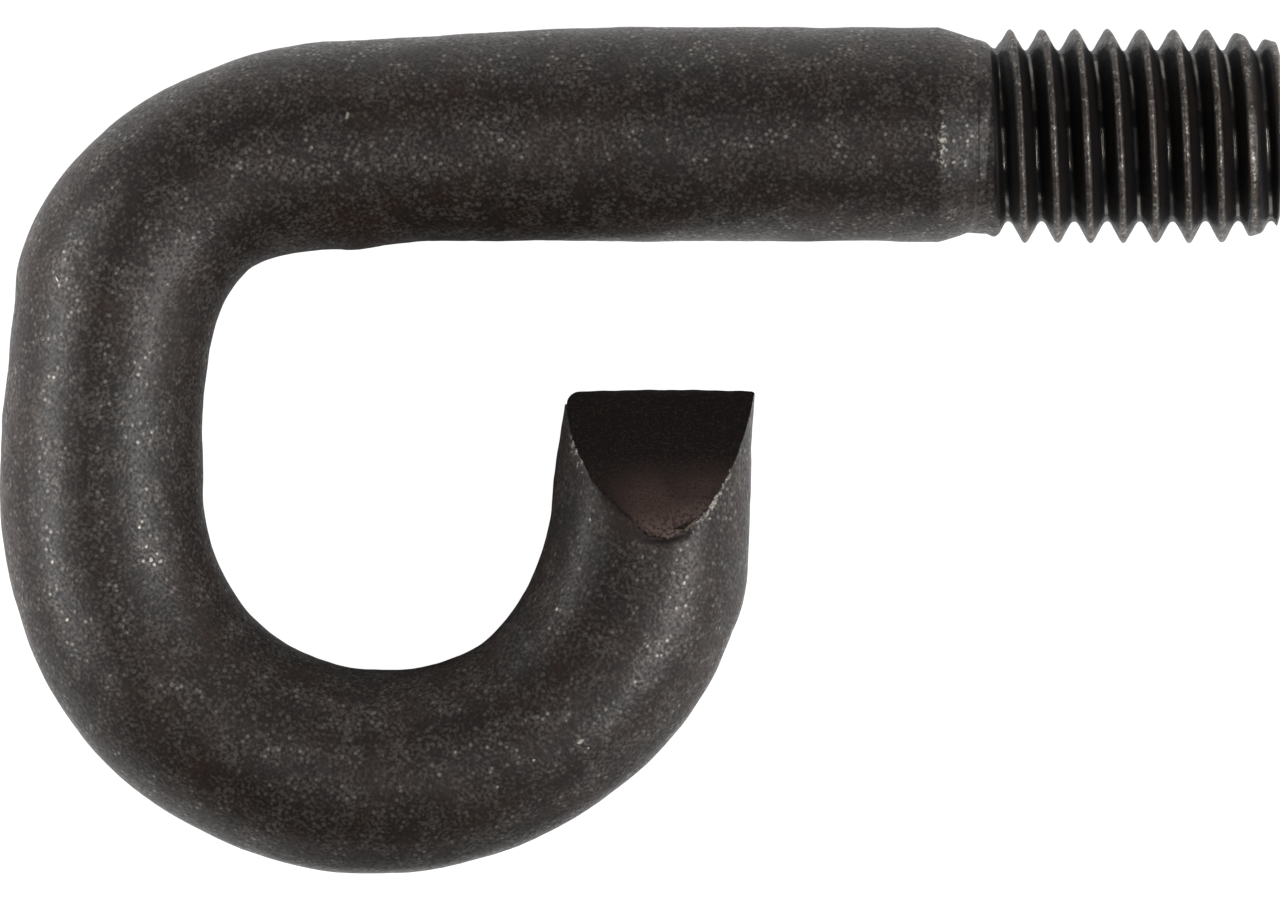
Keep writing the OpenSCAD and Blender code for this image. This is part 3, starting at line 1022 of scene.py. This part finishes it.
# %% Put the finishes on the rod
mesh.materials.append(black_scale)
mesh.materials.append(nipped_face)
mesh.materials.append(groove_soot)
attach(forged_rod, "root")
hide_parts("hook_bolt")
print("forged_rod rides on root and stands for hook_bolt")

# %% [markdown]
# ## The floor
#
# The photograph looks straight down on the bolt as it lies on a white ground. A white sheet lit from
# above would show a shadow beside it. This one glows like a light table, and none falls. The rod
# mirrors the sheet along its sides, and those aren't all equally bright, so the sheet glows more to
# the left, along the shank, to the right and close round the hook, and less inside the eye. Straight
# from the camera it is evenly white.

# %% Floor sheet
FLOOR_HALF = 1.5
SHEET_GREY = (0.25, 0.25, 0.25, 1.0)
floor_z = cad_box[0].z
floor_mesh = bpy.data.meshes.new("floor")
floor_corners = [(-FLOOR_HALF, -FLOOR_HALF, floor_z), (FLOOR_HALF, -FLOOR_HALF, floor_z),
                 (FLOOR_HALF, FLOOR_HALF, floor_z), (-FLOOR_HALF, FLOOR_HALF, floor_z)]
floor_mesh.from_pydata(floor_corners, [], [(0, 1, 2, 3)])
floor = bpy.data.objects.new("floor", floor_mesh)
bpy.context.scene.collection.objects.link(floor)
white_sheet = bpy.data.materials.new("white_sheet")
white_sheet.use_nodes = True
sheet_tree = white_sheet.node_tree
sheet = sheet_tree.nodes["Principled BSDF"]
sheet.inputs["Base Color"].default_value = SHEET_GREY
sheet.inputs["Roughness"].default_value = 1.0
sheet.inputs["Specular IOR Level"].default_value = 0.0
sheet.inputs["Emission Color"].default_value = (1.0, 1.0, 1.0, 1.0)
floor_mesh.materials.append(white_sheet)
print("floor at", round(floor_z / MM, 2), "mm")

# %% Glow of the sheet
FLOOR_GLOW = 1.0
SIDE_GLOW = 0.82
LOW_GLOW = 0.12
EYE_GLOW = 0.25
LEFT_GLOW_SHARE = 0.68
BELOW_GLOW_SHARE = 0.75
RIGHT_GLOW_SHARE = 0.9
LEFT_ZONE = (-28.0, -38.0)
BELOW_SHANK = (-7.8, -4.8)
BEYOND_SHANK = (-2.0, 3.0)
RIGHT_ZONE = (-9.0, 0.0)
ROUND_HOOK = (24.0, 19.0)
OFF_HOOK = (12.0, 16.0)
EYE_SIDE = (-26.0, -33.0)

on_sheet = sheet_tree.nodes.new("ShaderNodeSeparateXYZ")
feed(sheet_tree, place_in_mm(sheet_tree), on_sheet.inputs[0])
sheet_x, sheet_y = on_sheet.outputs["X"], on_sheet.outputs["Y"]
off_eye = sheet_tree.nodes.new("ShaderNodeVectorMath")
off_eye.operation = "DISTANCE"
feed(sheet_tree, place_in_mm(sheet_tree), off_eye.inputs[0])
off_eye.inputs[1].default_value = (tip_x - HOOK_R, tip_y - TIP_LEN, floor_z / MM)
zones = [
    stretch(sheet_tree, sheet_x, *LEFT_ZONE, 0.0, LEFT_GLOW_SHARE),
    stretch(sheet_tree, sheet_y, *BELOW_SHANK, 0.0, BELOW_GLOW_SHARE),
    stretch(sheet_tree, sheet_y, *BEYOND_SHANK),
    stretch(sheet_tree, sheet_x, *RIGHT_ZONE, 0.0, RIGHT_GLOW_SHARE),
    stretch(sheet_tree, off_eye.outputs["Value"], *ROUND_HOOK),
]
bright_side = 0.0
for zone in zones:
    bright_side = calc(sheet_tree, "MAXIMUM", bright_side, zone)
off_hook = stretch(sheet_tree, off_eye.outputs["Value"], *OFF_HOOK)
side_glow = stretch(sheet_tree, bright_side, 0.0, 1.0, LOW_GLOW, SIDE_GLOW)
side_glow = calc(sheet_tree, "MULTIPLY", side_glow, off_hook)
eye_glow = stretch(sheet_tree, sheet_x, *EYE_SIDE, 0.0, EYE_GLOW)
eye_glow = calc(sheet_tree, "MULTIPLY", eye_glow, calc(sheet_tree, "SUBTRACT", 1.0, off_hook))
seen = sheet_tree.nodes.new("ShaderNodeLightPath").outputs["Is Camera Ray"]
seen_glow = calc(sheet_tree, "MULTIPLY", seen, FLOOR_GLOW)
glow = calc(sheet_tree, "MAXIMUM", seen_glow, calc(sheet_tree, "MAXIMUM", side_glow, eye_glow))
feed(sheet_tree, glow, sheet.inputs["Emission Strength"])
print("the sheet glows in", len(zones), "zones round the bolt and one inside its eye")

# %% [markdown]
# ## Light
#
# Soft boxes make long, soft lines on a round rod. The large one on the right does most of the work,
# with a fainter one on the left. A small one close beside the limb draws the bright line along it, and
# a strip nearly overhead draws the one along the shank. One sky of even brightness would flatten the
# rod, so the room is nearly dark apart from two pale walls, on the right and beyond the shank.

# %% Lights
FRAME_MIDDLE = (-13.81, -14.70)
LIMB_MIDDLE = (-38.7, -12.0)


def soft_box(name, aim, toward, tilt, distance, size, power):
    """An area light, tilt degrees down from straight overhead toward an azimuth, aimed at a point."""
    lamp = bpy.data.lights.new(name, "AREA")
    lamp.shape = "RECTANGLE"
    lamp.size, lamp.size_y = size
    lamp.energy = power
    holder = bpy.data.objects.new(name, lamp)
    way, lean = math.radians(toward), math.radians(tilt)
    off = distance * math.sin(lean)
    up = distance * math.cos(lean)
    holder.location = (aim[0] * MM + off * math.cos(way), aim[1] * MM + off * math.sin(way), up)
    holder.rotation_euler = (0.0, lean, way)
    holder.visible_camera = False
    bpy.context.scene.collection.objects.link(holder)
    return holder


boxes = [
    soft_box("left_box", FRAME_MIDDLE, 180.0, 52.0, 0.40, (0.11, 0.40), 0.12),
    soft_box("low_left_box", LIMB_MIDDLE, 180.0, 60.0, 0.028, (0.0098, 0.048), 0.0075),
    soft_box("right_box", FRAME_MIDDLE, -12.0, 46.0, 0.40, (0.14, 0.40), 1.05),
    soft_box("top_box", FRAME_MIDDLE, 270.0, 7.0, 0.40, (0.36, 0.10), 0.16),
]
print("soft boxes:", ", ".join(box.name for box in boxes))

# %% Walls of the room
DARK_ROOM = 0.02
RIGHT_WALL = 0.80
FAR_WALL = 0.69
WALL_FOCUS = 5.0
world = bpy.data.worlds.new("studio")
bpy.context.scene.world = world
world.use_nodes = True
room = world.node_tree
ahead = room.nodes.new("ShaderNodeSeparateXYZ")
feed(room, room.nodes.new("ShaderNodeTexCoord").outputs["Generated"], ahead.inputs[0])
walls = DARK_ROOM
for axis, strength in (("X", RIGHT_WALL), ("Y", FAR_WALL)):
    toward = calc(room, "POWER", calc(room, "MAXIMUM", ahead.outputs[axis], 0.0), WALL_FOCUS)
    walls = calc(room, "ADD", walls, calc(room, "MULTIPLY", toward, strength))
looked_at = room.nodes.new("ShaderNodeLightPath").outputs["Is Camera Ray"]
feed(room, calc(room, "MAXIMUM", walls, looked_at), room.nodes["Background"].inputs["Strength"])
room.nodes["Background"].inputs["Color"].default_value = (1.0, 1.0, 1.0, 1.0)
print("the room has", len(room.nodes), "nodes")

# %% [markdown]
# ## Camera
#
# The photograph shows no side of the rod more than another, so it was taken from far off. A long lens
# high above the bolt gives that without the flatness of an orthographic camera.

# %% Camera
LENS = 300.0
SENSOR = 36.0
FRAME_WIDTH = 59.52
camera_data = bpy.data.cameras.new("straight_down")
camera_data.lens = LENS
camera_data.sensor_width = SENSOR
camera_data.clip_start = 0.01
camera = bpy.data.objects.new("straight_down", camera_data)
camera.location = (FRAME_MIDDLE[0] * MM, FRAME_MIDDLE[1] * MM, FRAME_WIDTH * MM * LENS / SENSOR)
bpy.context.scene.collection.objects.link(camera)
bpy.context.scene.camera = camera
bpy.context.scene.view_settings.view_transform = "Standard"
print("camera", round(camera.location.z / MM), "mm above the bolt")

# %% [markdown]
# ## Last look at the size
#
# The box of the imported bolt is printed here. The dressed bolt may not outgrow the
# imported one.

# %% Print the imported box and finish
print("packed", [[round(v / MM, 2) for v in corner] for corner in cad_box])
